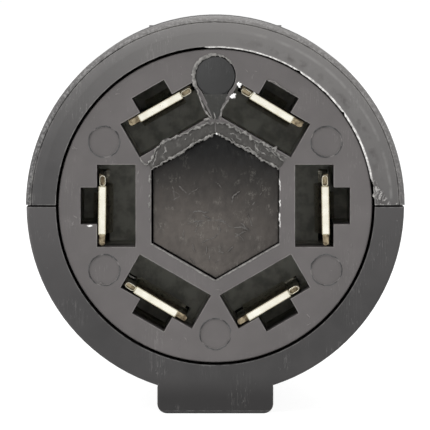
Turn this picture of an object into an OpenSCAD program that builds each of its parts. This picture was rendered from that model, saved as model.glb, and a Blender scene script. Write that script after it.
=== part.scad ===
// Trailer-side plug of a round blade-type trailer wiring connector.
// X is to the right and Z is up, looking at the mating face. Y runs from the mating face (y = 0) to the
// cable end. The origin is on the plug's axis, in the plane of the nose's front edge. Millimetres.

/* [Nose] */
// Outer radius of the lower half of the nose
nose_r = 24.15; // [23.8:0.05:25]
// Length of the nose, from its front edge to the flange
nose_len = 27; // [27:0.5:30]
// How much the upper half's radius exceeds the lower half's
upper_proud = 0.1; // [0:0.05:0.4]
// Width of the alignment key under the nose
key_w = 14.85; // [12:0.05:16]
// How far the key stands out from the nose
key_h = 2.45; // [2:0.05:3.5]

/* [Insert] */
// Radius of the contact insert
insert_r = 20.05; // [19.9:0.05:20.2]
// Gap between the insert and the shells
insert_gap = 0.35; // [0.3:0.05:0.4]
// How far the insert's face stands back from the nose's front edge
face_y = 0.35; // [0.2:0.05:0.6]
// Across flats of the central blanking hexagon
hex_flats = 16.1; // [14:0.1:16.3]
// How far the hexagon's front stands back from the insert's face
hex_recess = 0.8; // [0.4:0.1:2]
// Distance from the axis to the middle of the locating post
post_z = 16.6; // [16.4:0.1:16.7]
// Radius of the locating post
post_r = 2.5; // [2.2:0.1:2.5]

/* [Contacts] */
// Tangential length of a blade slot
slot_w = 10.56; // [10.3:0.02:10.6]
// Distance from the axis to the inner wall of a blade slot
slot_inner = 10.2; // [10:0.1:10.6]
// Distance from the axis to the outer wall of a blade slot
slot_outer = 15.14; // [15:0.02:15.2]
// Depth of a blade slot below the insert's face
slot_depth = 16.65; // [15:0.05:17]
// Thickness of the contact's brass strip
strip_t = 0.48; // [0.4:0.02:0.5]
// Full width of the contact
contact_w = 9.1; // [8.8:0.1:9.1]
// Width of the contact's front tongue
tongue_w = 6.2; // [5:0.1:7]

/* [Body] */
// Radius of the hand grip
grip_r = 22.3; // [22:0.1:22.8]
// Distance from the axis to the flats on top of and under the grip
flat_z = 20.6; // [20.4:0.1:21]
// Number of grip rings
ring_count = 5; // [3:1:6]
// Radius of the cable that the plug takes
cable_r = 6.35; // [5.5:0.05:6.5]

/* [Hidden] */
$fn = 72;
eps = 0.01; // overlap of pieces that are joined
big = 200; // larger than the plug

// Contact positions, clockwise from 12 o'clock, and how each contact sits in its slot.
clock = [30, 90, 150, 210, 270, 330];
seat_shift = [0, 0.62, 0.5, 0.44, -0.62, 0.22];
seat_gap = [0.2, 0.55, 0.18, 0.17, 0.17, 0.18];
seat_lean = [1, -1, -0.8, 0.8, 0.6, 0.6];

// Shells
seam_half_gap = 0.12;
front_line_w = 0.16;
front_line_depth = 0.22;
front_fall = 0.2;
bore_r = insert_r + insert_gap;
flange_r = nose_r + 0.25;
flange_end = nose_len + 4;
neck_r = 21.4;
neck_end = flange_end + 4;
grip_end = 73;
tail_r = 12.6;
tail_end = 77;
keel_z = -(nose_r + key_h);
key_top = nose_r - 2.1;
keel_top = 19.3;
keel_w = 11;
heel_y = 64;
chamber_r = 18.9;
chamber_end = 66;
terminal_room_r = 21.4;
terminal_room_end = nose_len + 3.6;
rib_r = 21.6;
rib_y = [12, 15];
lug_w = 4.4;
lug_r = 22.6;
fit = 0.15;

// Insert
insert_end = 22;
floor_y = face_y + slot_depth;
notch_w = 4.74;
notch_outer = 17.25;
mark_r = 1.95;
mark_at = 16.4;
mark_depth = 0.12;
hex_gap = 0.15;
hex_shift = 0.1;

// Contacts
tongue_y = 1.1;
shoulder_y = 2.5;
lip_end = 4.6;
shoulder_t = 0.72;
bow_start = 4;
bow_end = 14;
bow_rise = 0.8;
block_w = 7.5;
block_bottom = 10.2;
block_top = 17.2;
block_end = 30.2;
wire_r = 2.1;
wire_z = 13.2;
set_y = 25.2;
set_r = 1.5;
set_len = 5;
set_tip = 15.4;
set_travel = 3.8;

// Body screws, their nuts and bosses
boss_x = 16.6;
boss_y = [46, 61.5];
boss_r = 4.4;
seat_z = 8;
screw_r = 1.72;
screw_len = 18;
head_r = 3.2;
head_h = 2.4;
nut_r = 3.46;
nut_t = 2.4;
nut_z = -6.4;
peg_x = 14.2;
peg_y = 68.4;
peg_r = 1.4;

// Cable end
grommet_r = 8.9;
grommet_y = [64, 75.6];
collar_y = [69, 72];
collar_r = 10.4;
trough_end = 91;
trough_r = 9.7;
seat_r = cable_r + 0.25;
ear_x = 18.6;
ear_y = [80, 90];
ear_top = -0.5;
ear_bottom = -7;
clamp_bottom = 0.5;
clamp_top = 5;
clamp_screw_x = 13.4;
clamp_screw_y = 85;
clamp_screw_r = 1.95;
clamp_screw_len = 14;
clamp_nut_r = 4.04;
clamp_nut_t = 3;
clamp_nut_z = -3.8;

// A sketch drawn as seen from the front, made solid from y0 to y1
module slab(y0, y1) translate([0, y1, 0]) rotate([90, 0, 0]) linear_extrude(y1 - y0) children();

// A sketch of [y, z] made solid across X, width w
module across(w) rotate([90, 0, 90]) linear_extrude(w, center = true) children();

// A sketch of [radius, y] turned about the plug's axis
module turned() rotate([-90, 0, 0]) rotate_extrude() children();

// Turns what stands at 12 o'clock to another clock position
module at_clock(angle) rotate([0, angle, 0]) children();

// The space above (side = 1) or below (side = -1) the seam, less gap
module half_space(side, gap) translate([-big / 2, -big / 2, side > 0 ? gap : -big - gap]) cube(big);

// A rectangle with round corners, from (x0, y0) to (x1, y1)
module round_rect(x0, y0, x1, y1, r) {
    translate([x0 + r, y0]) square([x1 - x0 - 2 * r, y1 - y0]);
    translate([x0, y0 + r]) square([x1 - x0, y1 - y0 - 2 * r]);
    for (x = [x0 + r, x1 - r], y = [y0 + r, y1 - r]) translate([x, y]) circle(r);
}

// Points of an arc about (x, y) from angle a0 to angle a1
function arc(x, y, r, a0, a1, n = 5) =
    [for (i = [0 : n]) [x + r * cos(a0 + (a1 - a0) * i / n), y + r * sin(a0 + (a1 - a0) * i / n)]];

// Points of a solid cylinder's half section, its front and back edges rounded
function barrel(r, y0, y1, front_r, back_r) = concat(
    [[0, y0]],
    arc(r - front_r, y0 + front_r, front_r, -90, 0),
    arc(r - back_r, y1 - back_r, back_r, 0, 90),
    [[0, y1]]);

function flatten(lists) = [for (list = lists, item = list) item];

// Outline of the shells' outside, turned about the axis. With a line_w, the front falls away towards a fine
// groove of that width round its edge.
function body_profile(r, front_r, line_w) = let (fall = line_w > 0 ? front_fall : 0) concat(
    [[0, 0]],
    line_w > 0 ? [[r - 2, 0], [r - front_r - line_w - eps, fall]] : [],
    line_w > 0 ? [[r - front_r - line_w / 2, fall + front_line_depth]] : [],
    arc(r - front_r, fall + front_r, front_r, -90, 0),
    [[r, nose_len]],
    arc(flange_r - 0.6, nose_len + 0.6, 0.6, -90, 0),
    arc(flange_r - 0.6, flange_end - 0.6, 0.6, 0, 90),
    [[neck_r, flange_end], [neck_r, neck_end]],
    arc(grip_r - 1, neck_end + 1, 1, -90, 0),
    flatten([for (i = [0 : ring_count - 1]) arc(grip_r - 0.35, ring_y(i), 1.1, -71, 71, 6)]),
    arc(grip_r - 7, grip_end - 7, 7, 0, 90, 8),
    [[tail_r, grip_end]],
    arc(tail_r - 0.8, tail_end - 0.8, 0.8, 0, 90),
    [[0, tail_end]]);

function ring_y(i) = 45.2 + i * 18 / (ring_count - 1);

// Outline of the room inside the shells for the insert, the terminals, the wires and the grommet
function room_profile() = concat(
    [[0, -1], [bore_r, -1]],
    [[bore_r, rib_y[0] - fit], [rib_r + 0.2, rib_y[0] - fit]],
    [[rib_r + 0.2, rib_y[1] + fit], [bore_r, rib_y[1] + fit]],
    [[bore_r, insert_end], [terminal_room_r, insert_end]],
    [[terminal_room_r, terminal_room_end], [chamber_r, terminal_room_end]],
    arc(chamber_r - 4, chamber_end - 4, 4, 0, 90),
    [[grommet_r + 0.1, chamber_end], [grommet_r + 0.1, collar_y[0] - 0.1]],
    [[collar_r + 0.2, collar_y[0] - 0.1], [collar_r + 0.2, collar_y[1] + 0.1]],
    [[grommet_r + 0.1, collar_y[1] + 0.1], [grommet_r + 0.1, grommet_y[1] + 0.1]],
    [[seat_r, grommet_y[1] + 0.1], [seat_r, tail_end + 1], [0, tail_end + 1]]);

// Everything at the four body screws
module at_bosses() for (x = [-boss_x, boss_x], y = boss_y) translate([x, y, 0]) children();

module at_pegs() for (x = [-peg_x, peg_x]) translate([x, peg_y, 0]) children();

// The solid form of the shells' outside, flattened on top and underneath behind the flange
module body_form(r, front_r, line_w) difference() {
    turned() polygon(body_profile(r, front_r, line_w));
    for (z = [flat_z, -flat_z - big]) translate([-big / 2, flange_end + 0.5, z]) cube(big);
}

// One half of the hollow body, with its screw bosses
module half_shell(side, r, front_r, line_w) {
    intersection() {
        difference() {
            body_form(r, front_r, line_w);
            turned() polygon(room_profile());
        }
        half_space(side, seam_half_gap);
    }
    intersection() {
        body_form(r, front_r, line_w);
        at_bosses() translate([0, 0, side > 0 ? 0 : -big]) cylinder(r = boss_r, h = big);
    }
}

module upper_shell() color("dimgray") difference() {
    union() {
        half_shell(1, nose_r + upper_proud, 0.65, front_line_w);
        lid_catch();
    }
    at_bosses() {
        translate([0, 0, -1]) cylinder(r = screw_r + 0.13, h = big);
        translate([0, 0, seat_z]) cylinder(r = head_r + 0.35, h = big);
    }
    at_pegs() translate([0, 0, -1]) cylinder(r = peg_r + 0.1, h = 4);
}

// The ramp on top that the socket's sprung lid hooks behind
module lid_catch() across(18)
    polygon([[35.6, 19.8], [35.6, 20.4], [40.4, 22.9], [42, 22.9], [42.4, 22.5], [42.4, 19.8]]);

module lower_shell() color("dimgray") difference() {
    union() {
        half_shell(-1, nose_r, 0.35, 0);
        alignment_key();
        keel();
        cable_trough();
        at_pegs() translate([0, 0, -3]) cylinder(r = peg_r, h = 5.4);
    }
    slab(-1, insert_end) circle(bore_r);
    slab(rib_y[0] - fit, rib_y[1] + fit)
        translate([-lug_w / 2 - fit, -lug_r - fit]) square([lug_w + 2 * fit, 10]);
    slab(tail_end - 2, trough_end + 1) circle(seat_r);
    at_bosses() {
        translate([0, 0, -big]) cylinder(r = screw_r + 0.13, h = big + 1);
        translate([0, 0, nut_z - big]) cylinder(r = nut_r + 0.12, h = big, $fn = 6);
    }
    for (x = [-clamp_screw_x, clamp_screw_x]) translate([x, clamp_screw_y, 0]) {
        translate([0, 0, -20]) cylinder(r = clamp_screw_r + 0.15, h = 30);
        translate([0, 0, clamp_nut_z - 20]) cylinder(r = clamp_nut_r + 0.12, h = 20, $fn = 6);
    }
}

// The key under the nose, with a small bevel round its front edge
module alignment_key() intersection() {
    slab(0, flange_end) round_rect(-key_w / 2, keel_z, key_w / 2, -key_top, 1.3);
    across(key_w + 1)
        polygon([[0.35, keel_z], [0, keel_z + 0.35], [0, 0], [flange_end, 0], [flange_end, keel_z]]);
}

// The key's continuation under the grip, which the plug stands on
module keel() across(keel_w) polygon([[flange_end - 0.3, -keel_top], [flange_end - 0.3, keel_z],
    [heel_y, keel_z], [heel_y + 4, -keel_top]]);

// The open lower half of the cable seat, and the ears that the clamp is screwed to
module cable_trough() {
    intersection() {
        slab(tail_end - 1, trough_end) circle(trough_r);
        half_space(-1, -ear_top);
    }
    slab(ear_y[0], ear_y[1]) round_rect(-ear_x, ear_bottom, ear_x, ear_top, 1);
}

// One blade slot: the room for the blade, and the notch behind the contact
module slot_sketch() {
    translate([-slot_w / 2, slot_inner]) square([slot_w, slot_outer - slot_inner]);
    translate([-notch_w / 2, slot_outer - 1]) square([notch_w, notch_outer - slot_outer + 1]);
}

// The locating post with its neck, which narrows between two slots, made larger all round by gap
module post_sketch(gap) translate([0, post_z]) {
    circle(post_r + gap);
    polygon([[-0.5 - gap, -4.2 - gap], [0.5 + gap, -4.2 - gap], [2.1 + gap, -1], [-2.1 - gap, -1]]);
}

module hexagon(flats) rotate(30) circle(flats / 2 / cos(30), $fn = 6);

// Distance from the axis to the middle of a contact's folded strip
function contact_z(i) = slot_outer - seat_gap[i] - strip_t;

// A contact's own place in its slot
module seated(i) translate([seat_shift[i], 0, contact_z(i)]) rotate([0, seat_lean[i], 0]) children();

module contact_insert() color("gray") difference() {
    union() {
        turned() polygon(barrel(insert_r, face_y, insert_end, 0.2, 0.3));
        turned() translate([0, rib_y[0]]) square([rib_r, rib_y[1] - rib_y[0]]);
        slab(rib_y[0], rib_y[1]) translate([-lug_w / 2, -lug_r]) square([lug_w, 4]);
    }
    for (i = [0 : 5]) at_clock(clock[i]) {
        slab(face_y - 1, floor_y) slot_sketch();
        slab(floor_y - 0.5, insert_end + 1) translate([seat_shift[i], contact_z(i)])
            square([contact_w + 0.3, 2 * strip_t + 0.24], center = true);
    }
    slab(face_y - 1, insert_end + 1) hexagon(hex_flats + 2 * hex_gap);
    slab(face_y - 1, insert_end + 1) post_sketch(0.12);
    for (angle = [60 : 60 : 300])
        at_clock(angle) slab(face_y - 1, face_y + mark_depth) translate([0, mark_at]) circle(mark_r);
}

// Fills the unused middle position and the post hole, and ties both together behind the insert
module blanking_filler() color("darkslategray") {
    slab(face_y + hex_recess, insert_end + 0.4) translate([hex_shift, 0]) hexagon(hex_flats);
    slab(face_y + 0.15, insert_end + 0.4) post_sketch(0);
    slab(insert_end + 0.1, insert_end + 2.3) {
        circle(9.7);
        round_rect(-1.4, 0, 1.4, post_z + post_r, 1.2);
    }
}

// A strip folded double at its front, with its inner leaf bowed towards the axis. Drawn as [y, z],
// with z = 0 where the two leaves meet.
module folded_strip_sketch() {
    bow_r = pow(bow_end - bow_start, 2) / (8 * bow_rise) + bow_rise / 2;
    translate([tongue_y, -strip_t]) square([bow_start - tongue_y, 2 * strip_t]);
    translate([tongue_y, 0]) square([insert_end - tongue_y + 1, strip_t]);
    intersection() {
        translate([bow_start - 0.1, -2 * bow_rise]) square([bow_end - bow_start + 0.2, 2 * bow_rise + eps]);
        translate([(bow_start + bow_end) / 2, bow_r - bow_rise - strip_t]) difference() {
            circle(bow_r, $fn = 120);
            circle(bow_r - strip_t, $fn = 120);
        }
    }
}

module terminal(i) color("goldenrod") at_clock(clock[i]) {
    seated(i) {
        across(tongue_w) folded_strip_sketch();
        slab(shoulder_y, lip_end)
            round_rect(-contact_w / 2, -shoulder_t / 2, contact_w / 2, shoulder_t / 2, shoulder_t / 2 - eps);
        slab(lip_end - 0.1, insert_end + 1) translate([-contact_w / 2, 0]) square([contact_w, strip_t]);
        across(3.4) polygon([[13, 0.1], [13, strip_t], [floor_y - 0.15, strip_t + 1], [floor_y - 0.15, 0.1]]);
    }
    difference() {
        translate([-block_w / 2, insert_end + 0.05, block_bottom])
            cube([block_w, block_end - insert_end, block_top - block_bottom]);
        translate([0, insert_end + 1.5, wire_z]) rotate([-90, 0, 0]) cylinder(r = wire_r, h = 20);
        translate([0, set_y, set_tip - set_travel - 0.2]) cylinder(r = set_r + 0.05, h = 20);
    }
}

// A headless set screw with a slot, which clamps the wire in its terminal
module terminal_screw(i) color("silver") at_clock(clock[i]) translate([0, set_y, set_tip]) difference() {
    union() {
        cylinder(r1 = set_r - 0.6, r2 = set_r, h = 0.6);
        translate([0, 0, 0.6]) cylinder(r = set_r, h = set_len - 0.6);
    }
    translate([-0.35, -3, set_len - 1]) cube([0.7, 6, 2]);
}

// A pan-head screw standing on its seat at z = 0, with a cross recess
module pan_screw(r, len, head_r, head_h) {
    difference() {
        intersection() {
            cylinder(r = head_r, h = head_h);
            translate([0, 0, head_h - 6.5]) sphere(6.5, $fn = 48);
        }
        for (a = [0, 90]) rotate(a) translate([-head_r * 0.55, -0.4, head_h - 1.3])
            cube([head_r * 1.1, 0.8, 2]);
    }
    translate([0, 0, -len + 0.6]) cylinder(r = r, h = len - 0.5);
    translate([0, 0, -len]) cylinder(r1 = r - 0.5, r2 = r, h = 0.61);
}

module body_screw(x, y) color("silver") translate([x, y, seat_z])
    pan_screw(screw_r, screw_len, head_r, head_h);

module clamp_screw(side) color("silver") translate([side * clamp_screw_x, clamp_screw_y, clamp_top])
    pan_screw(clamp_screw_r, clamp_screw_len, 3.7, 2.7);

// A hexagon nut hanging from z = 0
module hex_nut(r, bore, t) translate([0, 0, -t]) difference() {
    cylinder(r = r, h = t, $fn = 6);
    translate([0, 0, -1]) cylinder(r = bore, h = t + 2);
}

module body_nuts() color("silver") at_bosses() translate([0, 0, nut_z - 0.05])
    hex_nut(nut_r, screw_r + 0.05, nut_t);

module clamp_nuts() color("silver") for (x = [-clamp_screw_x, clamp_screw_x])
    translate([x, clamp_screw_y, clamp_nut_z - 0.05]) hex_nut(clamp_nut_r, clamp_screw_r + 0.05, clamp_nut_t);

// The rubber bush that seals round the cable, with a collar held in the shells' groove
module cable_grommet() color("black") difference() {
    union() {
        turned() polygon(barrel(grommet_r, grommet_y[0], grommet_y[1], 0.8, 0.8));
        turned() polygon(barrel(collar_r, collar_y[0], collar_y[1], 0.4, 0.4));
    }
    slab(0, big) circle(cable_r);
}

// The saddle that holds the cable down
module cable_clamp() color("dimgray") difference() {
    slab(ear_y[0] + 0.5, ear_y[1] - 0.5) {
        round_rect(-ear_x, clamp_bottom, ear_x, clamp_top, 1);
        intersection() {
            circle(trough_r + 0.3);
            translate([-big / 2, clamp_bottom]) square(big);
        }
    }
    slab(0, big) circle(seat_r);
    for (x = [-clamp_screw_x, clamp_screw_x]) translate([x, clamp_screw_y, -1])
        cylinder(r = clamp_screw_r + 0.15, h = 20);
}

upper_shell();
lower_shell();
contact_insert();
blanking_filler();
for (i = [0 : 5]) {
    terminal(i);
    terminal_screw(i);
}
for (i = [0 : 3])
    body_screw((i % 2 == 0 ? -1 : 1) * boss_x, boss_y[floor(i / 2)]);
body_nuts();
cable_grommet();
cable_clamp();
clamp_screw(-1);  // clamp_screw_left
clamp_screw(1);  // clamp_screw_right
clamp_nuts();
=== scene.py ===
import math
import random

import bmesh
import bpy
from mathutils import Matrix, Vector, noise


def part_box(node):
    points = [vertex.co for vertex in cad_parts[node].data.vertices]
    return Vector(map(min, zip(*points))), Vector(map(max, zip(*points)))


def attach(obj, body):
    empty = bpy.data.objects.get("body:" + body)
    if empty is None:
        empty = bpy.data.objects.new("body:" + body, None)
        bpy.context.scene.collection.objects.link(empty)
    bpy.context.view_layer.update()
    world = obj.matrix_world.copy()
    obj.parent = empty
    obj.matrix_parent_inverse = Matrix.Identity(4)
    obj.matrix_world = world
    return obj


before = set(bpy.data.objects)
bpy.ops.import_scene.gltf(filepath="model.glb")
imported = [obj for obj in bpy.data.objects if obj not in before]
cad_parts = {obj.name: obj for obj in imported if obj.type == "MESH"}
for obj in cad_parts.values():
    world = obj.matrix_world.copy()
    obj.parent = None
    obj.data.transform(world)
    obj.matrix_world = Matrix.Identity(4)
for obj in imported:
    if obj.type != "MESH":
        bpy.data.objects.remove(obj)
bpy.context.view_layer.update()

MM = 0.001

# Sizes read off the frame
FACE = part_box("contact_insert")[0].y
FLOOR_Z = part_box("lower_shell")[0].z

# Sizes of the mating face, as in the CAD
BORE_R = 20.4 * MM
HEX_FLATS = 16.1 * MM
HEX_SHIFT = 0.1 * MM
FILLER_TOP = FACE + 0.8 * MM
POST = Vector((0, 16.6 * MM))
POST_R = 2.5 * MM
MARK_OUT = 16.4 * MM
MARK_CLOCK = (60, 120, 180, 240, 300)
TONGUE_W = 6.2 * MM

# The six contacts: clock angles, and how far each sits sideways, outwards (both mm) and turned (degrees)
CLOCK = (30, 90, 150, 210, 270, 330)
SEAT_SHIFT = (0, 0.62, 0.5, 0.44, -0.62, 0.22)
SEAT_OUT = (14.46, 14.11, 14.48, 14.49, 14.49, 14.48)
SEAT_LEAN = (1, -1, -0.8, 0.8, 0.6, 0.6)


# ------------------------------------------------------------------------------------------ camera, light

CAMERA_DISTANCE = 0.6
CAMERA_ELEVATION = math.radians(2.6)
VIEW_WIDTH = 54.95 * MM
VIEW_CENTRE = Vector((-0.04 * MM, 0, -1.14 * MM))
SENSOR_WIDTH = 36

WORLD_STRENGTH = 1.02
FLOOR_SIZE = 6
FLOOR_GLOW = 0.9
# Name, place, size and watts of each soft box
SOFT_BOXES = (("key_light", (-0.3, -0.34, 0.36), 0.3, 1.3),
              ("top_light", (0.06, -0.02, 0.5), 0.4, 1.6),
              ("side_light", (-0.5, -0.12, 0.04), 0.2, 0.9))


def add_camera():
    """Square on to the mating face and a little above it, far away, as a long lens sees it."""
    data = bpy.data.cameras.new("camera")
    data.sensor_width = SENSOR_WIDTH
    data.lens = data.sensor_width * CAMERA_DISTANCE / VIEW_WIDTH
    data.clip_start = 0.01
    camera = bpy.data.objects.new("camera", data)
    bpy.context.collection.objects.link(camera)
    back = Vector((0, -math.cos(CAMERA_ELEVATION), math.sin(CAMERA_ELEVATION)))
    camera.location = VIEW_CENTRE + back * CAMERA_DISTANCE
    camera.rotation_euler = (math.pi / 2 - CAMERA_ELEVATION, 0, 0)
    bpy.context.scene.camera = camera


def add_softbox(name, place, size, watts, target=(0, 0.02, 0)):
    """A square soft light at place, turned to face target."""
    data = bpy.data.lights.new(name, "AREA")
    data.size = size
    data.energy = watts
    light = bpy.data.objects.new(name, data)
    light.location = place
    light.rotation_euler = (Vector(target) - Vector(place)).to_track_quat("-Z", "Y").to_euler()
    bpy.context.collection.objects.link(light)


def add_studio():
    """White surroundings, a pale floor under the plug, and soft boxes at the upper left, top and left."""
    world = bpy.data.worlds.new("studio")
    world.use_nodes = True
    world.node_tree.nodes["Background"].inputs["Color"].default_value = (1, 1, 1, 1)
    world.node_tree.nodes["Background"].inputs["Strength"].default_value = WORLD_STRENGTH
    bpy.context.scene.world = world
    bpy.context.scene.view_settings.view_transform = "Standard"
    bpy.context.scene.view_settings.look = "None"
    for box in SOFT_BOXES:
        add_softbox(*box)
    bpy.ops.mesh.primitive_plane_add(size=FLOOR_SIZE, location=(0, 0, FLOOR_Z))
    floor = bpy.context.object
    floor.name = "floor"
    floor.data.materials.append(floor_paint())


# ---------------------------------------------------------------------------------------------- materials


class Shader:
    """A Principled material with short calls that add nodes. Patterns follow object coordinates."""

    def __init__(self, name):
        self.material = bpy.data.materials.new(name)
        self.material.use_nodes = True
        self.tree = self.material.node_tree
        self.surface = self.tree.nodes["Principled BSDF"]
        self.place = self.add("TexCoord").outputs["Object"]

    def add(self, kind, inputs=None, **settings):
        """A new node, with its settings made and its named inputs fed."""
        made = self.tree.nodes.new("ShaderNode" + kind)
        for key, value in settings.items():
            setattr(made, key, value)
        for key, value in (inputs or {}).items():
            self.feed(made.inputs[key], value)
        return made

    def feed(self, socket, value):
        """Links another node's output to a socket, or sets the socket to a plain value."""
        if isinstance(value, bpy.types.NodeSocket):
            self.tree.links.new(value, socket)
        else:
            socket.default_value = value

    def set(self, **inputs):
        """Feeds the Principled node's inputs; an underscore stands for a space in a name."""
        for key, value in inputs.items():
            self.feed(self.surface.inputs[key.replace("_", " ")], value)

    def stretched(self, x, y, z):
        """The place, scaled by a different amount along each axis."""
        return self.add("Mapping", {"Vector": self.place, "Scale": (x, y, z)}).outputs["Vector"]

    def noise(self, size, detail=3.0, place=None, roughness=0.55):
        """Soft noise whose lumps are about size across."""
        inputs = {"Vector": place or self.place, "Scale": 1 / size, "Detail": detail, "Roughness": roughness}
        return self.add("TexNoise", inputs).outputs["Fac"]

    def cells(self, size):
        """Distance to the nearest of scattered points, about size apart: 0 at a point."""
        inputs = {"Vector": self.place, "Scale": 1 / size}
        return self.add("TexVoronoi", inputs).outputs["Distance"]

    def ramp(self, value, low, high, to_low=0.0, to_high=1.0):
        """Takes low..high to to_low..to_high with soft ends."""
        inputs = {"Value": value, "From Min": low, "From Max": high, "To Min": to_low, "To Max": to_high}
        return self.add("MapRange", inputs, interpolation_type="SMOOTHSTEP").outputs["Result"]

    def math(self, operation, a, b):
        """The output of one Math node."""
        made = self.add("Math", operation=operation)
        self.feed(made.inputs[0], a)
        self.feed(made.inputs[1], b)
        return made.outputs[0]

    def mix(self, factor, a, b):
        """Colour a where factor is 0, colour b where it is 1."""
        made = self.add("Mix", data_type="RGBA")
        self.feed(made.inputs["Factor"], factor)
        self.feed(made.inputs[6], a)
        self.feed(made.inputs[7], b)
        return made.outputs[2]

    def axis(self, letter):
        """One coordinate of the place, in metres."""
        return self.add("SeparateXYZ", {"Vector": self.place}).outputs[letter]

    def edges(self, radius):
        """1 on edges sharper than radius, 0 on open surfaces."""
        rounded = self.add("Bevel", {"Radius": radius}, samples=6).outputs["Normal"]
        plain = self.add("NewGeometry").outputs["Normal"]
        dot = self.add("VectorMath", operation="DOT_PRODUCT")
        self.feed(dot.inputs[0], rounded)
        self.feed(dot.inputs[1], plain)
        return self.ramp(dot.outputs["Value"], 0.995, 0.93)

    def radius(self):
        """Distance from the plug's axis."""
        flat = self.stretched(1, 0, 1)
        return self.add("VectorMath", {"Vector": flat}, operation="LENGTH").outputs["Value"]

    def band(self, value, middle, reach):
        """1 where value is at middle, 0 from reach away."""
        return self.ramp(self.math("ABSOLUTE", self.math("SUBTRACT", value, middle), 0), reach, 0)

    def streaks(self, size, length, width, amount):
        """Fine straight scratches: size across the pattern, length along it."""
        lines = self.noise(size, 2, self.stretched(1, 1, size / length))
        where = self.ramp(self.noise(length, 1), 0.5, 0.66)
        return self.math("MULTIPLY", self.math("MULTIPLY", self.band(lines, 0.5, width), where), amount)

    def bump(self, height, depth):
        """A normal from a height field whose full range stands depth proud."""
        return self.add("Bump", {"Height": height, "Strength": 1.0, "Distance": depth}).outputs["Normal"]


def rgb(red, green, blue):
    """An opaque colour."""
    return (red, green, blue, 1)


def floor_paint():
    """Smooth white studio floor that glows evenly, with the faintest mottling."""
    s = Shader("floor_paint")
    s.set(Base_Color=s.mix(s.noise(0.2), rgb(0.2, 0.2, 0.2), rgb(0.22, 0.22, 0.22)), Roughness=0.8,
          Emission_Color=rgb(1, 1, 1), Emission_Strength=FLOOR_GLOW)
    return s.material


def moulded_plastic(name, dark, light, wear_and_highlight, rough, dust=0.35, grain=0.006 * MM, tone=None):
    """Moulded plastic: mottled colour, fine grain, scuffed edges that also carry a painted edge highlight,
    hair scratches and a few pale specks.

    tone, when given, changes the colour before the wear and the painted edge highlight are laid over it.
    """
    s = Shader(name)
    mottle = s.ramp(s.noise(3.5 * MM, 5), 0.3, 0.7)
    cloud = s.ramp(s.noise(11 * MM, 3), 0.35, 0.7)
    colour = s.mix(s.math("MULTIPLY", s.math("ADD", mottle, cloud), 0.5), dark, light)
    if tone:
        colour = tone(s, colour)
    # Scuffs on the edges: real wear, and also a painted highlight along the edges
    scuffs_and_edge_highlight = s.math("MULTIPLY", s.edges(0.22 * MM), s.ramp(s.noise(0.9 * MM, 4), 0.36, 0.6))
    colour = s.mix(s.math("MULTIPLY", scuffs_and_edge_highlight, 0.5), colour, wear_and_highlight)
    colour = s.mix(s.streaks(0.35 * MM, 5 * MM, 0.012, 0.3), colour, wear_and_highlight)
    specks = s.ramp(s.cells(1.1 * MM), 0.09, 0.05)
    some = s.ramp(s.noise(4 * MM, 2), 0.55, 0.7)
    colour = s.mix(s.math("MULTIPLY", s.math("MULTIPLY", specks, some), dust), colour, wear_and_highlight)
    fine = s.noise(0.11 * MM, 2)
    broad = s.noise(0.7 * MM, 3)
    height = s.math("ADD", s.math("MULTIPLY", fine, 0.35), broad)
    s.set(Base_Color=colour, Roughness=s.ramp(s.noise(1.6 * MM, 4), 0.3, 0.7, rough - 0.07, rough + 0.1),
          Specular_IOR_Level=0.24, Normal=s.bump(height, grain))
    return s.material


# Heights between which the alignment key darkens to a painted shade at its bottom
KEY_FADE_FROM = -21.5 * MM
KEY_FADE_TO = -25 * MM


def painted_toplight(side, start, end, pale, key=None):
    """Painted light from above: a tone that goes paler from start to end up the plug, and side times as fast
    towards its right.

    key, when given, is the colour at the bottom of the key, a painted shade.
    """
    def tone(s, colour):
        if key:
            colour = s.mix(s.ramp(s.axis("Z"), KEY_FADE_FROM, KEY_FADE_TO), colour, key)
        lean = s.math("ADD", s.axis("Z"), s.math("MULTIPLY", s.axis("X"), side))
        up = s.add("MapRange", {"Value": lean, "From Min": start, "From Max": end}).outputs["Result"]
        return s.mix(s.math("MULTIPLY", up, s.ramp(s.axis("Y"), 24 * MM, 4 * MM, 0.35, 1)), colour, pale)
    return tone


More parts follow.
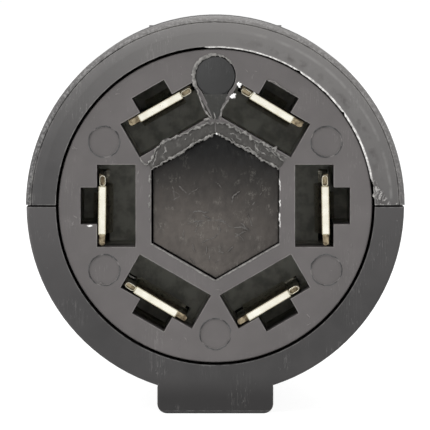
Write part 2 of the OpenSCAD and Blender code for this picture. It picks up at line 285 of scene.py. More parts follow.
def worn_and_lit_face(fade):
    """The tone fade of painted top light, then the front's marks: a painted highlight arc, a painted shade
    band inside it, a gritty rim that is partly a painted highlight, and a torn corner at the seam.
    """
    def tone(s, colour):
        colour = fade(s, colour)
        out = s.radius()
        front = s.ramp(s.axis("Y"), 1.5 * MM, 0.6 * MM)
        right = s.math("MULTIPLY", front, s.ramp(s.axis("X"), 1 * MM, 8 * MM))
        # Painted highlight: a pale arc on the right of the front face
        patches = s.ramp(s.noise(2.2 * MM, 4), 0.38, 0.6, 0, 0.45)
        painted_highlight_arc = s.math("MULTIPLY", s.band(out, 22.5 * MM, 0.32 * MM), patches)
        colour = s.mix(s.math("MULTIPLY", right, painted_highlight_arc), colour, rgb(0.2, 0.195, 0.19))
        # Painted shade: a dark band inside the arc
        patches = s.ramp(s.noise(1.8 * MM, 5), 0.42, 0.62, 0, 0.6)
        painted_shade_band = s.math("MULTIPLY", s.band(out, 21.2 * MM, 0.8 * MM), patches)
        colour = s.mix(s.math("MULTIPLY", right, painted_shade_band), colour, rgb(0.045, 0.04, 0.039))
        # Pale grains on the rim: grit, and a painted highlight on the rim that faces up
        grains = s.ramp(s.noise(0.35 * MM, 3), 0.46, 0.62, 0, 0.5)
        grit_and_highlight = s.math("MULTIPLY", s.band(out, 23.8 * MM, 0.5 * MM), grains)
        colour = s.mix(s.math("MULTIPLY", front, grit_and_highlight), colour, rgb(0.24, 0.235, 0.23))
        lean = s.math("ADD", s.axis("X"), s.math("MULTIPLY", s.axis("Z"), 0.65))
        corner = s.math("MULTIPLY", s.ramp(lean, 22.8 * MM, 22.2 * MM), front)
        corner = s.math("MULTIPLY", corner, s.ramp(s.axis("X"), 20 * MM, 20.3 * MM))
        colour = s.mix(s.math("MULTIPLY", corner, 0.5), colour, rgb(0.05, 0.047, 0.045))
        threads = s.band(s.noise(0.42 * MM, 4, s.stretched(1, 1, 0.4)), 0.5, 0.035)
        return s.mix(s.math("MULTIPLY", corner, threads), colour, rgb(0.36, 0.35, 0.34))
    return tone


def painted_slot_light(start, end, pale):
    """Painted light in the slots: a tone that goes paler and mottled there, from depth start to end, to
    match the photograph.
    """
    def tone(s, colour):
        inside = s.math("MULTIPLY", s.ramp(s.radius(), 19 * MM, 17.6 * MM), s.ramp(s.axis("Y"), start, end))
        inside = s.math("MULTIPLY", inside, s.ramp(s.noise(1.9 * MM, 4), 0.34, 0.62, 0.55, 1))
        return s.mix(inside, colour, pale)
    return tone


def broken_plastic(name, dark, light, torn, thread=0.022):
    """Rough torn plastic with threads of the torn colour, thread wide: paler towards the bottom under a
    painted shade at the top, and a little darker towards the right.
    """
    s = Shader(name)
    fibres = s.noise(0.5 * MM, 5, s.stretched(1, 1, 0.35), 0.7)
    lumps = s.noise(1.9 * MM, 4)
    # Painted shade: darkest at the top, fading out downwards, with fewer threads showing in it
    low = s.ramp(s.axis("Z"), 8 * MM, -4 * MM)
    patch = s.ramp(lumps, 0.3, 0.65, 0.7, 1)
    colour = s.mix(s.math("MULTIPLY", patch, low), dark, light)
    colour = s.mix(s.ramp(s.axis("X"), -1 * MM, 8 * MM, 0, 0.35), colour, dark)
    threads = s.band(fibres, 0.5, thread)
    threads = s.math("MULTIPLY", threads, s.ramp(s.noise(1.3 * MM, 2), 0.52, 0.7))
    threads = s.math("MULTIPLY", threads, s.ramp(low, 0, 0.6, 0.25, 0.6))
    colour = s.mix(threads, colour, torn)
    height = s.math("ADD", fibres, s.math("MULTIPLY", s.noise(0.16 * MM, 3), 0.4))
    s.set(Base_Color=colour, Roughness=s.ramp(lumps, 0.3, 0.7, 0.5, 0.75),
          Specular_IOR_Level=0.18, Normal=s.bump(height, 0.06 * MM))
    return s.material


def stressed_and_glint_plastic(name, dark, light):
    """The pale, waxy plastic of flash and torn ridges; its near-white copies are painted highlights."""
    s = Shader(name)
    colour = s.mix(s.ramp(s.noise(0.45 * MM, 4), 0.35, 0.65), dark, light)
    s.set(Base_Color=colour, Roughness=s.ramp(s.noise(0.3 * MM), 0.3, 0.7, 0.28, 0.5),
          Normal=s.bump(s.noise(0.18 * MM, 3), 0.03 * MM))
    return s.material


def contact_metal():
    """Folded brass: tinned and bright at the lip, brown beside it, painted paler in the slot as light there,
    brass at the back.
    """
    s = Shader("contact_metal")
    depth = s.axis("Y")
    stain = s.ramp(s.noise(0.7 * MM, 4), 0.35, 0.62)
    bright = s.mix(s.ramp(s.noise(1.5 * MM, 2), 0.3, 0.7), rgb(0.71, 0.68, 0.58), rgb(0.8, 0.78, 0.69))
    bright = s.mix(s.edges(0.28 * MM), bright, rgb(0.24, 0.21, 0.12))
    brown = s.mix(stain, rgb(0.11, 0.085, 0.055), rgb(0.36, 0.3, 0.2))
    brass = s.mix(stain, rgb(0.62, 0.43, 0.17), rgb(0.76, 0.56, 0.25))
    colour = s.mix(s.ramp(depth, 1.7 * MM, 2.3 * MM), bright, brown)
    # Painted light: the metal in the slot is made paler to stand in for light reaching it
    slot_painted_light_metal = s.mix(stain, rgb(0.46, 0.43, 0.35), rgb(0.6, 0.57, 0.47))
    colour = s.mix(s.ramp(depth, 4.6 * MM, 6 * MM), colour, slot_painted_light_metal)
    colour = s.mix(s.ramp(depth, 22.3 * MM, 23.5 * MM), colour, brass)
    grain = s.noise(0.05 * MM, 2, s.stretched(0.25, 1, 0.25))
    s.set(Base_Color=colour, Metallic=1.0, Roughness=s.ramp(s.noise(0.5 * MM, 4), 0.3, 0.7, 0.24, 0.42),
          Normal=s.bump(grain, 0.004 * MM))
    return s.material


def plated_steel(name, warm, cold):
    """Zinc-plated steel: fine turning marks, slightly uneven passivation and patches of grime."""
    s = Shader(name)
    tint = s.ramp(s.noise(1.4 * MM, 3), 0.35, 0.65)
    colour = s.mix(tint, warm, cold)
    grime = s.math("MULTIPLY", s.ramp(s.noise(0.6 * MM, 4), 0.5, 0.75), 0.45)
    colour = s.mix(grime, colour, rgb(0.2, 0.18, 0.15))
    marks = s.noise(0.06 * MM, 2, s.stretched(0.2, 0.2, 1))
    s.set(Base_Color=colour, Metallic=1.0, Roughness=s.ramp(s.noise(0.4 * MM, 4), 0.3, 0.7, 0.26, 0.46),
          Normal=s.bump(marks, 0.006 * MM))
    return s.material


def soft_rubber():
    """Matt black rubber with a grey bloom and fine pores."""
    s = Shader("grommet_rubber")
    bloom = s.ramp(s.noise(1.5 * MM, 5), 0.42, 0.72)
    pores = s.ramp(s.cells(0.25 * MM), 0.25, 0.05)
    colour = s.mix(bloom, rgb(0.016, 0.016, 0.017), rgb(0.05, 0.049, 0.048))
    height = s.math("SUBTRACT", s.noise(0.3 * MM, 3), s.math("MULTIPLY", pores, 0.5))
    s.set(Base_Color=colour, Roughness=s.ramp(bloom, 0, 1, 0.62, 0.82), Normal=s.bump(height, 0.02 * MM))
    return s.material


# Painted light from above on the shells' fronts, and painted shade down the key
UPPER_TOPLIGHT = painted_toplight(0.43, -4 * MM, 25 * MM, rgb(0.125, 0.12, 0.117))
LOWER_TOPLIGHT = painted_toplight(-0.1, -13 * MM, 4 * MM, rgb(0.062, 0.059, 0.059), rgb(0.018, 0.017, 0.017))
SLOT_LIGHT = painted_slot_light(7 * MM, 11 * MM, rgb(0.64, 0.64, 0.575))
# The upper shell's plastic: a lighter copy of the shell plastic with paler wear, as painted light from above
UPPER_LIT = moulded_plastic("upper_lit_plastic", rgb(0.04, 0.039, 0.039), rgb(0.052, 0.05, 0.05),
                        rgb(0.3, 0.29, 0.28), 0.42, tone=worn_and_lit_face(UPPER_TOPLIGHT))
SHELL = moulded_plastic("shell_plastic", rgb(0.031, 0.03, 0.03), rgb(0.042, 0.04, 0.04),
                        rgb(0.2, 0.195, 0.19), 0.42, tone=LOWER_TOPLIGHT)
INSERT = moulded_plastic("insert_plastic", rgb(0.083, 0.077, 0.076), rgb(0.101, 0.093, 0.092),
                         rgb(0.24, 0.23, 0.22), 0.52, tone=SLOT_LIGHT)
POST_PLASTIC = moulded_plastic("post_plastic", rgb(0.026, 0.026, 0.026), rgb(0.033, 0.033, 0.033),
                               rgb(0.1, 0.1, 0.1), 0.55, dust=0.1)
WEB_PLASTIC = broken_plastic("web_plastic", rgb(0.048, 0.046, 0.043), rgb(0.095, 0.091, 0.086),
                             rgb(0.34, 0.33, 0.31), 0.07)
# The hexagon's near-black dark end is the painted shadow at the top of its recess
HEX_PLASTIC = broken_plastic("hex_plastic", rgb(0.004, 0.004, 0.004), rgb(0.077, 0.068, 0.061),
                             rgb(0.2, 0.19, 0.17))
NICK_PLASTIC = stressed_and_glint_plastic("nick_plastic", rgb(0.075, 0.07, 0.068), rgb(0.14, 0.13, 0.125))
NECK_PLASTIC = broken_plastic("neck_plastic", rgb(0.03, 0.03, 0.028), rgb(0.05, 0.05, 0.047),
                              rgb(0.16, 0.155, 0.15))
FLASH = stressed_and_glint_plastic("flash_plastic", rgb(0.085, 0.082, 0.077), rgb(0.19, 0.183, 0.173))
FIBRE = stressed_and_glint_plastic("fibre_plastic", rgb(0.042, 0.038, 0.035), rgb(0.075, 0.069, 0.063))
# Near-white: a painted highlight on the inner lip and the hexagon's slivers
LIP_HIGHLIGHT = stressed_and_glint_plastic("lip_highlight_plastic", rgb(0.32, 0.31, 0.3), rgb(0.68, 0.67, 0.65))
SEAM_PLASTIC = stressed_and_glint_plastic("seam_plastic", rgb(0.12, 0.115, 0.11), rgb(0.34, 0.33, 0.31))
# Near-white: painted glints on the crumbs
GLINT_CRUMB = stressed_and_glint_plastic("glint_crumb_plastic", rgb(0.7, 0.7, 0.68), rgb(0.9, 0.9, 0.88))
CONTACT = contact_metal()
STEEL = plated_steel("plated_steel", rgb(0.72, 0.69, 0.6), rgb(0.62, 0.66, 0.7))
SET_STEEL = plated_steel("set_screw_steel", rgb(0.6, 0.56, 0.46), rgb(0.56, 0.57, 0.58))
RUBBER = soft_rubber()


# ------------------------------------------------------------------------------------------ mesh building


def add_piece(name, verts, faces, material, body, slot):
    """A smooth-shaded mesh that rides on a CAD body."""
    mesh = bpy.data.meshes.new(name)
    mesh.from_pydata([tuple(v) for v in verts], [], faces)
    work = bmesh.new()
    work.from_mesh(mesh)
    bmesh.ops.recalc_face_normals(work, faces=work.faces)
    work.to_mesh(mesh)
    work.free()
    mesh.materials.append(material)
    mesh.shade_smooth()
    piece = bpy.data.objects.new(name, mesh)
    bpy.context.collection.objects.link(piece)
    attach(piece, body)
    return piece


def skin(rings):
    """Vertices and faces of a closed skin through rings of points, capped at both ends."""
    count = len(rings[0])
    verts = [point for ring in rings for point in ring]
    faces = [tuple(range(count)), tuple(range(len(verts) - count, len(verts)))]
    for start in range(0, len(verts) - count, count):
        for i in range(count):
            j = (i + 1) % count
            faces.append((start + i, start + j, start + count + j, start + count + i))
    return verts, faces


def join_skins(skins):
    """One list of vertices and one of faces for several separate skins."""
    verts, faces = [], []
    for more_verts, more_faces in skins:
        faces += [tuple(len(verts) + i for i in face) for face in more_faces]
        verts += more_verts
    return verts, faces


def resample(line, step):
    """Points along a polyline, about step apart."""
    out = [line[0]]
    for a, b in zip(line, line[1:]):
        pieces = max(1, round((b - a).length / step))
        out += [a.lerp(b, i / pieces) for i in range(1, pieces + 1)]
    return out


def arc(centre, radius, start, end, steps):
    """Points of an arc in the face plane. Angles are in degrees, anticlockwise from 3 o'clock."""
    angles = [math.radians(start + (end - start) * i / steps) for i in range(steps + 1)]
    return [centre + radius * Vector((math.cos(a), math.sin(a))) for a in angles]


# A ridge's section: across as a share of its width, up as a share of its height
RIDGE_SECTION = [(-0.5, -0.6), (-0.42, 0.35), (-0.12, 0.95), (0.16, 0.85), (0.44, 0.3), (0.5, -0.6)]


def ridge(line, depth, width, height, seed, ragged=0.35, step=0.16 * MM):
    """A ragged ridge of flash along a line in the face plane, standing height proud of depth."""
    path = resample(line, step)
    rings = []
    for i, point in enumerate(path):
        along = (path[min(i + 1, len(path) - 1)] - path[max(i - 1, 0)]).normalized()
        side = Vector((-along.y, along.x))
        taper = min(1, (i + 0.6) / 3, (len(path) - i - 0.4) / 3)
        wave = [noise.fractal(Vector((i * 0.34, seed * 7.3, k)), 0.9, 2.0, 3) for k in (0, 3, 6)]
        wide = width * taper * max(0.3, 1 + 1.4 * ragged * wave[0])
        tall = height * taper * min(1, max(0.3, 0.9 + ragged * wave[1]))
        sway = width * ragged * wave[2]
        ring = []
        for across, up in RIDGE_SECTION:
            at = point + side * (across * wide + sway)
            ring.append(Vector((at.x, depth - up * tall, at.y)))
        rings.append(ring)
    return skin(rings)


def polar(radius, clock):
    """A point of the face plane at a clock angle, in degrees clockwise from 12 o'clock."""
    return radius * Vector((math.sin(math.radians(clock)), math.cos(math.radians(clock))))


# --------------------------------------------------------------------------------------------- the pieces


WELD_REACH = 0.002 * MM
FLAT_ANGLE = math.radians(0.4)
SHARP_ANGLE = math.radians(38)


def dress(name, material, bevel=0):
    """Gives a CAD node its material, and rounds its sharp edges by bevel."""
    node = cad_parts[name]
    node.data.materials.clear()
    node.data.materials.append(material)
    if bevel:
        weld = node.modifiers.new("weld", "WELD")
        weld.merge_threshold = WELD_REACH
        flat = node.modifiers.new("flat", "DECIMATE")
        flat.decimate_type = "DISSOLVE"
        flat.angle_limit = FLAT_ANGLE
        rounded = node.modifiers.new("rounded", "BEVEL")
        rounded.width = bevel
        rounded.segments = 2
        rounded.limit_method = "ANGLE"
        rounded.angle_limit = SHARP_ANGLE
        rounded.harden_normals = True
        rounded.use_clamp_overlap = True


def dress_cad():
    """Gives every CAD node its material, and bevels the moulded casing."""
    dress("upper_shell", UPPER_LIT, 0.12 * MM)
    dress("lower_shell", SHELL, 0.12 * MM)
    dress("cable_clamp", SHELL, 0.2 * MM)
    dress("contact_insert", INSERT)
    dress("blanking_filler", POST_PLASTIC)
    dress("cable_grommet", RUBBER)
    for i in range(1, 7):
        dress(f"terminal_{i}", CONTACT)
        dress(f"terminal_screw_{i}", SET_STEEL)
    for i in range(1, 5):
        dress(f"body_screw_{i}", STEEL)
    for name in ("body_nuts", "clamp_nuts", "clamp_screw_left", "clamp_screw_right"):
        dress(name, STEEL)


def add_hex_face():
    """The torn, fibrous front of the blanked middle position."""
    apothem = HEX_FLATS / 2 - 0.06 * MM
    step = 0.2 * MM
    work = bmesh.new()
    bmesh.ops.create_grid(work, x_segments=96, y_segments=96, size=48 * step)
    for side in range(6):
        out = polar(apothem, 30 + 60 * side + 60)
        plane = Vector((out.x, out.y, 0))
        everything = work.verts[:] + work.edges[:] + work.faces[:]
        bmesh.ops.bisect_plane(work, geom=everything, plane_co=plane, plane_no=plane, clear_outer=True)
    rim = [edge for edge in work.edges if edge.is_boundary]
    grown = bmesh.ops.extrude_edge_only(work, edges=rim)["geom"]
    foot = set(item for item in grown if isinstance(item, bmesh.types.BMVert))
    bmesh.ops.contextual_create(work, geom=[e for e in work.edges if e.is_boundary])
    for vert in work.verts:
        x, z = vert.co.x, vert.co.y
        if vert in foot:
            vert.co = Vector((x + HEX_SHIFT, FILLER_TOP + 0.5 * MM, z))
            continue
        place = Vector((x, 0, z)) / MM
        lumps = noise.fractal(place * 0.42, 1.0, 2.0, 4)
        fibres = noise.noise(Vector((place.x * 3.1 + place.z * 1.1, 4, place.z * 0.9)))
        crumbs = noise.noise(place * 5.2 + Vector((9, 0, 3)))
        rise = 0.32 + 0.13 * lumps + 0.06 * fibres + 0.05 * crumbs
        vert.co = Vector((x + HEX_SHIFT, FILLER_TOP - max(0.03, rise) * MM, z))
    verts = [vert.co.copy() for vert in work.verts]
    work.verts.index_update()
    faces = [tuple(vert.index for vert in face.verts) for face in work.faces]
    work.free()
    add_piece("hex_face", verts, faces, HEX_PLASTIC, "base", "filler_plastic")


def points(*pairs):
    """Points of the face plane from pairs of millimetres."""
    return [Vector(pair) * MM for pair in pairs]


def torn_skin(inner, outer, height, seed, steps=70, lanes=12):
    """A rough skin between two lines in the face plane, up to height proud of the insert's face."""
    def along(line, part):
        """The point at a share of a line's length."""
        lengths = [(b - a).length for a, b in zip(line, line[1:])]
        left = part * sum(lengths)
        for a, b, length in zip(line, line[1:], lengths):
            if left <= length:
                return a.lerp(b, left / length)
            left -= length
        return line[-1]

    rows = []
    for i in range(steps + 1):
        start, end = along(inner, i / steps), along(outer, i / steps)
        edge = 0.18 * noise.noise(Vector((i * 0.37, seed, 0)))
        row = []
        for k in range(lanes + 1):
            part = k / lanes
            at = start.lerp(end, part + edge * part)
            place = Vector((at.x, seed * MM, at.y)) / MM
            rough = 0.5 + 0.5 * noise.fractal(place * 1.7, 1.0, 2.0, 4) + 0.25 * noise.noise(place * 6)
            rim = min(1, 4 * part, 4 * (1 - part), i / 3, (steps - i) / 3)
            row.append(Vector((at.x, FACE - (rough * rim * height if rim else -0.03 * MM), at.y)))
        rows.append(row)
    verts = [point for row in rows for point in row]
    wide = lanes + 1
    faces = [(i * wide + k, i * wide + k + 1, (i + 1) * wide + k + 1, (i + 1) * wide + k)
             for i in range(steps) for k in range(lanes)]
    border = list(range(wide))
    border += [i * wide + lanes for i in range(1, steps + 1)]
    border += [steps * wide + k for k in range(lanes - 1, -1, -1)]
    border += [i * wide for i in range(steps - 1, 0, -1)]
    foot = [Vector((verts[i].x, FACE + 0.2 * MM, verts[i].z)) for i in border]
    base = len(verts)
    count = len(border)
    faces += [(border[i], border[(i + 1) % count], base + (i + 1) % count, base + i) for i in range(count)]
    faces.append(tuple(range(base, base + count)))
    return verts + foot, faces


WEB_LEFT_OUT = points((0, 10.7), (-1.5, 10.4), (-2.9, 9.8), (-5, 8.85), (-6.6, 8.25), (-7.5, 7.3),
                      (-8.6, 5.2))
WEB_LEFT_IN = points((0, 9.35), (-1.8, 8.45), (-4, 7.15), (-6.7, 5.55), (-8.3, 4.6))
WEB_RIGHT_OUT = points((0, 10.7), (1.3, 10.6), (2.6, 9.85), (4.2, 9.05), (5, 8.4), (6.1, 8.1), (7.5, 7.3),
                       (8.8, 5.5))
WEB_RIGHT_IN = points((0, 9.35), (1.7, 8.45), (4.5, 6.95), (6.1, 5.9), (8.3, 4.7))


def add_web():
    """The torn web between the hexagon and the two upper slots, with ragged ridges along its borders."""
    skins = [torn_skin(WEB_LEFT_IN, WEB_LEFT_OUT, 0.2 * MM, 1.5),
             torn_skin(WEB_RIGHT_IN, WEB_RIGHT_OUT, 0.24 * MM, 7.5)]
    add_piece("web_skin", *join_skins(skins), WEB_PLASTIC, "base", "insert_plastic")
    skins = [ridge(WEB_LEFT_OUT, FACE, 0.3 * MM, 0.28 * MM, 11, 0.8),
             ridge(WEB_LEFT_IN, FACE, 0.3 * MM, 0.26 * MM, 12, 0.8),
             ridge(WEB_RIGHT_OUT, FACE, 0.36 * MM, 0.3 * MM, 13, 0.9),
             ridge(WEB_RIGHT_IN, FACE, 0.34 * MM, 0.28 * MM, 14, 0.8),
             ridge(points((1.5, 9.3), (2.4, 9.2), (3.5, 8.2)), FACE, 0.26 * MM, 0.26 * MM, 20, 0.8),
             ridge(points((6.2, 7.7), (6.9, 7), (7.6, 6.8), (8.1, 6)), FACE, 0.28 * MM, 0.24 * MM, 21, 0.8),
             ridge(points((-6.7, 7.9), (-6.2, 7), (-7, 6.4)), FACE, 0.26 * MM, 0.22 * MM, 22, 0.8),
             ridge(points((-2.8, 9.2), (-4.2, 8.4)), FACE, 0.24 * MM, 0.18 * MM, 23, 0.8),
             ridge(points((1.9, 8.75), (2.7, 7.75), (4.4, 7.35), (5.4, 6.5)),
                   FACE, 0.3 * MM, 0.3 * MM, 15, 0.6),
             ridge(points((5, 8.3), (5.4, 7.1), (6.9, 6.4)), FACE, 0.24 * MM, 0.2 * MM, 16, 0.7),
             ridge(points((-7.4, 7.2), (-7.7, 5.8), (-8.1, 5)), FACE, 0.3 * MM, 0.26 * MM, 17, 0.6),
             ridge(points((-9.6, 6.2), (-9.1, 5.4), (-8.5, 5.3)), FACE, 0.28 * MM, 0.2 * MM, 18, 0.6),
             ridge(points((6, 8), (8.3, 6.5), (9.2, 6.1)), FACE, 0.22 * MM, 0.2 * MM, 19, 0.6)]
    add_piece("web_flash", *join_skins(skins), FLASH, "base", "insert_plastic")


def add_post_flash():
    """The pale rim of flash on the left of the post, and the ridges down its neck."""
    skins = [ridge(arc(POST, POST_R + 0.28 * MM, 84, 214, 60), FACE, 0.52 * MM, 0.18 * MM, 41, 0.2),
             ridge(arc(POST, POST_R + 0.2 * MM, 34, 84, 20), FACE, 0.28 * MM, 0.12 * MM, 42, 0.5),
             ridge(points((-2.35, 14.9), (-1.9, 13.7), (-1.4, 12.3), (-0.8, 11.5), (-0.3, 11.1)),
                   FACE, 0.28 * MM, 0.22 * MM, 43, 0.4),
             ridge(points((1.75, 13.6), (1.3, 13), (0.8, 12.3), (0.65, 11)),
                   FACE, 0.24 * MM, 0.2 * MM, 44, 0.4),
             ridge(points((-0.2, 12.1), (0, 11.5), (-0.1, 10.8)), FACE, 0.26 * MM, 0.16 * MM, 45, 0.4),
             ridge(points((-1.5, 11.1), (-0.6, 11)), FACE, 0.5 * MM, 0.2 * MM, 46, 0.4)]
    add_piece("post_flash", *join_skins(skins), FLASH, "base", "insert_plastic")


POST_FACE_R = 2.46 * MM


def add_post_face():
    """The post's smooth round front, with a small edge break."""
    rings = [[Vector((at.x, depth, at.y)) for at in arc(POST, radius, 0, 354, 59)]
             for radius, depth in ((POST_FACE_R, FACE + 0.2 * MM), (POST_FACE_R, FACE + 0.06 * MM),
                                   (POST_FACE_R - 0.08 * MM, FACE + 0.01 * MM))]
    add_piece("post_face", *skin(rings), POST_PLASTIC, "base", "filler_plastic")


def add_neck_skin():
    """The rough skin on the post's pointed neck."""
    neck = torn_skin(points((-1.6, 14.3), (-1.1, 12.8), (-0.5, 11.6), (-0.3, 11)),
                     points((1.6, 14.3), (1.1, 12.8), (0.6, 11.6), (0.4, 11)), 0.12 * MM, 5.5, 26, 12)
    add_piece("neck_skin", *neck, NECK_PLASTIC, "base", "insert_plastic")


def add_crumbs():
    """The crumbs at the right of the post, under its neck, and by the slots at 9 and 1 o'clock, painted
    near-white as glints.
    """
    skins = [ridge(points((3, 15.85), (3.08, 15.5), (3.2, 15.1)),
                   FACE, 0.58 * MM, 0.2 * MM, 47, 0.5, 0.12 * MM),
             ridge(points((1.85, 13.95), (2.25, 14.1), (2.6, 14.4)),
                   FACE, 0.66 * MM, 0.2 * MM, 48, 0.5, 0.12 * MM),
             ridge(points((0.02, 9.25), (0.32, 9.15)), FACE, 0.34 * MM, 0.34 * MM, 49, 0.3, 0.08 * MM),
             ridge(points((-16.4, -2.52), (-15.7, -2.56)), FACE, 0.26 * MM, 0.12 * MM, 31, 0.5, 0.12 * MM),
             ridge(points((4.9, 14.55), (5.2, 14.35)),
                   FACE + 0.6 * MM, 0.3 * MM, 0.2 * MM, 32, 0.5, 0.1 * MM)]
    add_piece("post_crumbs", *join_skins(skins), GLINT_CRUMB, "base", "insert_plastic")


def add_hex_flash():
    """Fine flash round the hexagon: a thin bead below its lower edges, and crumbs on its left."""
    reach = HEX_FLATS / 2 / math.cos(math.radians(30)) + 0.34 * MM
    corners = {clock: polar(reach, clock) for clock in (120, 180, 240)}
    skins = [ridge([corners[120], corners[180]], FACE, 0.2 * MM, 0.08 * MM, 61, 0.3),
             ridge([corners[180], corners[240]], FACE, 0.2 * MM, 0.08 * MM, 62, 0.3)]
    for seed, (low, high) in enumerate(((2.9, 4), (1.1, 1.5), (-0.3, 0.5), (-2, -1.6)), 66):
        skins.append(ridge(points((-8.42, low), (-8.38, high)),
                           FACE, 0.3 * MM, 0.14 * MM, seed, 0.7, 0.1 * MM))
    add_piece("hex_flash", *join_skins(skins), FLASH, "base", "insert_plastic")


def add_hex_slivers():
    """Thin slivers down the hexagon's right edge, painted bright as highlights."""
    skins = [ridge(points((8.3, low), (8.26, high)), FACE + 0.1 * MM, 0.24 * MM, 0.16 * MM, seed, 0.4)
             for low, high, seed in ((1.7, 3.6, 63), (-0.4, 1, 64), (-3, -0.7, 65))]
    add_piece("hex_slivers", *join_skins(skins), LIP_HIGHLIGHT, "base", "filler_plastic")


def wandering_line(rng):
    """A short line of random steps on the hexagon, going mostly upwards."""
    line = [Vector((rng.uniform(-7, 7), rng.uniform(-8, 5))) * MM]
    turn = rng.choice((rng.uniform(60, 120), rng.uniform(60, 120), rng.uniform(0, 50),
                       rng.uniform(125, 160)))
    for _ in range(rng.randint(2, 5)):
        turn += rng.uniform(-22, 22)
        way = Vector((math.cos(math.radians(turn)), math.sin(math.radians(turn))))
        line.append(line[-1] + rng.uniform(0.3, 0.7) * MM * way)
    return line


FIBRE_COUNT = 38


def add_hex_fibres():
    """Fine raised fibres on the hexagon's torn front, inside its edges and below its top."""
    rng = random.Random(91)
    skins = []
    while len(skins) < FIBRE_COUNT:
        line = wandering_line(rng)
        if max(abs(at.x) + abs(at.y) * 0.58 for at in line) > 0.45 * HEX_FLATS or line[-1].y > 4 * MM:
            continue
        skins.append(ridge(line, FILLER_TOP - 0.3 * MM, rng.uniform(0.1, 0.2) * MM,
                           rng.uniform(0.05, 0.1) * MM, len(skins), 0.5, 0.12 * MM))
    add_piece("hex_fibres", *join_skins(skins), FIBRE, "base", "filler_plastic")


# Where the nicks cluster on the insert's face
NICK_SPOTS = points((-4.6, 17.3), (4.3, 17.4), (-16.9, 6.6), (17, -6), (-4.2, -17.2), (9.6, -9.6),
                    (-9.4, 4.4), (0.6, -10.6), (12.2, -15), (-17.6, -2), (5.3, -13.2), (-12.8, 14))


def over_slot(at):
    """Whether a point of the face plane is over a blade slot or its notch."""
    for clock in CLOCK:
        turn = math.radians(clock)
        across = abs(at.x * math.cos(turn) - at.y * math.sin(turn)) / MM
        out = (at.x * math.sin(turn) + at.y * math.cos(turn)) / MM
        if across < 5.5 and 10 < out < 15.4 or across < 2.6 and 15 < out < 17.5:
            return True
    return False


def add_nicks():
    """Small scuffs and raised nicks on the insert's face, most of them near the post and the slots."""
    rng = random.Random(17)
    skins = [ridge(points((-14.9, -9.9), (-14.3, -10.1)), FACE, 0.3 * MM, 0.1 * MM, 33, 0.5),
             ridge(points((6.5, 16.25), (7.6, 15.8), (8.6, 15.05), (10.5, 14)),
                   FACE, 0.24 * MM, 0.16 * MM, 34, 0.8)]
    for seed, spot in enumerate(NICK_SPOTS, 131):
        for _ in range(3):
            foot = spot + Vector((rng.uniform(-0.8, 0.8), rng.uniform(-0.8, 0.8))) * MM
            turn = rng.uniform(0, 2 * math.pi)
            tip = foot + rng.uniform(0.3, 0.9) * MM * Vector((math.cos(turn), math.sin(turn)))
            if over_slot(foot) or over_slot(tip):
                continue
            width = rng.uniform(0.1, 0.2) * MM
            skins.append(ridge([foot, tip], FACE, width, 0.05 * MM, seed, 0.6, 0.1 * MM))
    add_piece("face_nicks", *join_skins(skins), NICK_PLASTIC, "base", "insert_plastic")


# The witness lines, painted shade in dark plastic, run just outside the marks, whose own radius is 1.95 mm
MARK_LINE_R = 2 * MM


def add_marks():
    """The fine witness lines round the five ejector marks, broken here and there, made in dark plastic as
    painted shade at the marks' edges.
    """
    skins = []
    for i, clock in enumerate(MARK_CLOCK):
        for k, (start, end) in enumerate(((10, 150), (165, 285), (300, 362))):
            line = arc(polar(MARK_OUT, clock), MARK_LINE_R, start + 31 * i, end + 31 * i, 30)
            skins.append(ridge(line, FACE, 0.15 * MM, 0.035 * MM, 71 + 3 * i + k, 0.4))
    add_piece("ejector_marks", *join_skins(skins), POST_PLASTIC, "base", "insert_plastic")


def add_inner_lip():
    """The thin fin of flash on the upper shell's inner edge, painted bright as a highlight."""
    lines = ((58, 94, 0.36, 51), (36, 58, 0.46, 52), (9, 36, 0.5, 53))
    skins = [ridge(arc(Vector((0, 0)), BORE_R - 0.02 * MM, high, low, 60), 0.16 * MM, width * MM, 0.15 * MM,
                   seed, 0.06, 0.3 * MM) for low, high, width, seed in lines]
    add_piece("inner_lip", *join_skins(skins), LIP_HIGHLIGHT, "cover", "shell_plastic")


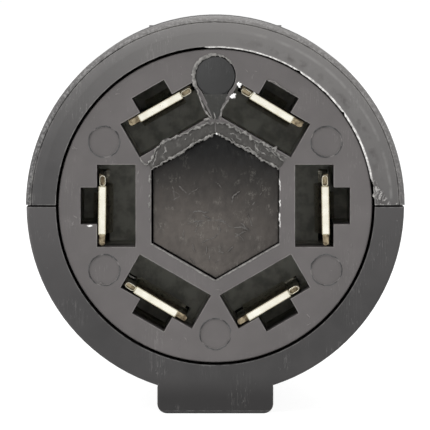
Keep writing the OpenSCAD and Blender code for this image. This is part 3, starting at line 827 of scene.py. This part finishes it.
def add_seam_flash():
    """The torn flash at the right end of the seam."""
    skins = [ridge(points((20.35, 3.5), (20.42, 1.6), (20.6, 0.45)),
                   0.16 * MM, 0.42 * MM, 0.15 * MM, 54, 0.6),
             ridge(points((22.3, 0.32), (22.9, 0.38), (23.5, 0.34)),
                   0.2 * MM, 0.26 * MM, 0.14 * MM, 55, 0.7)]
    add_piece("seam_flash", *join_skins(skins), SEAM_PLASTIC, "cover", "shell_plastic")


def seat(index, u, w, depth):
    """A point of a contact: u along its tongue, w outwards from its middle, depth behind the origin."""
    lean, clock = math.radians(SEAT_LEAN[index]), math.radians(CLOCK[index])
    across = SEAT_SHIFT[index] * MM + u * math.cos(lean) + w * math.sin(lean)
    out = SEAT_OUT[index] * MM - u * math.sin(lean) + w * math.cos(lean)
    x = across * math.cos(clock) + out * math.sin(clock)
    z = out * math.cos(clock) - across * math.sin(clock)
    return Vector((x, depth, z))


def oval(half_long, half_high, steps=9):
    """Points round a flat oval with round ends."""
    reach = half_long - half_high
    ends = [(reach, -90), (-reach, 90)]
    out = []
    for middle, start in ends:
        for i in range(steps + 1):
            turn = math.radians(start + 180 * i / steps)
            out.append((middle + half_high * math.cos(turn), half_high * math.sin(turn)))
    return out


def add_contact_curls():
    """The curled edge of each contact's lip: a small flattened loop, at the end nearer the plug's top."""
    half_long, half_high, wall, lip = 0.74 * MM, 0.42 * MM, 0.15 * MM, 0.04 * MM
    front, back = 1.3 * MM, 2.56 * MM
    section = [(0, back), (0, front + lip), (lip, front),
               (wall - lip, front), (wall, front + lip), (wall, back)]
    skins = []
    for i, clock in enumerate(CLOCK):
        side = -1 if clock < 180 else 1
        middle = side * (TONGUE_W / 2 + half_long - 0.05 * MM)
        rings = []
        for inset, depth in section:
            line = oval(half_long - inset, half_high - inset)
            rings.append([seat(i, middle + u, w, depth) for u, w in line])
        verts, faces = skin(rings + [rings[0]])
        skins.append((verts, faces[2:]))
    add_piece("contact_curls", *join_skins(skins), CONTACT, "base", "contact_brass")


add_camera()
add_studio()
dress_cad()
add_hex_face()
add_web()
add_post_flash()
add_post_face()
add_neck_skin()
add_crumbs()
add_hex_flash()
add_hex_slivers()
add_hex_fibres()
add_nicks()
add_marks()
add_inner_lip()
add_seam_flash()
add_contact_curls()
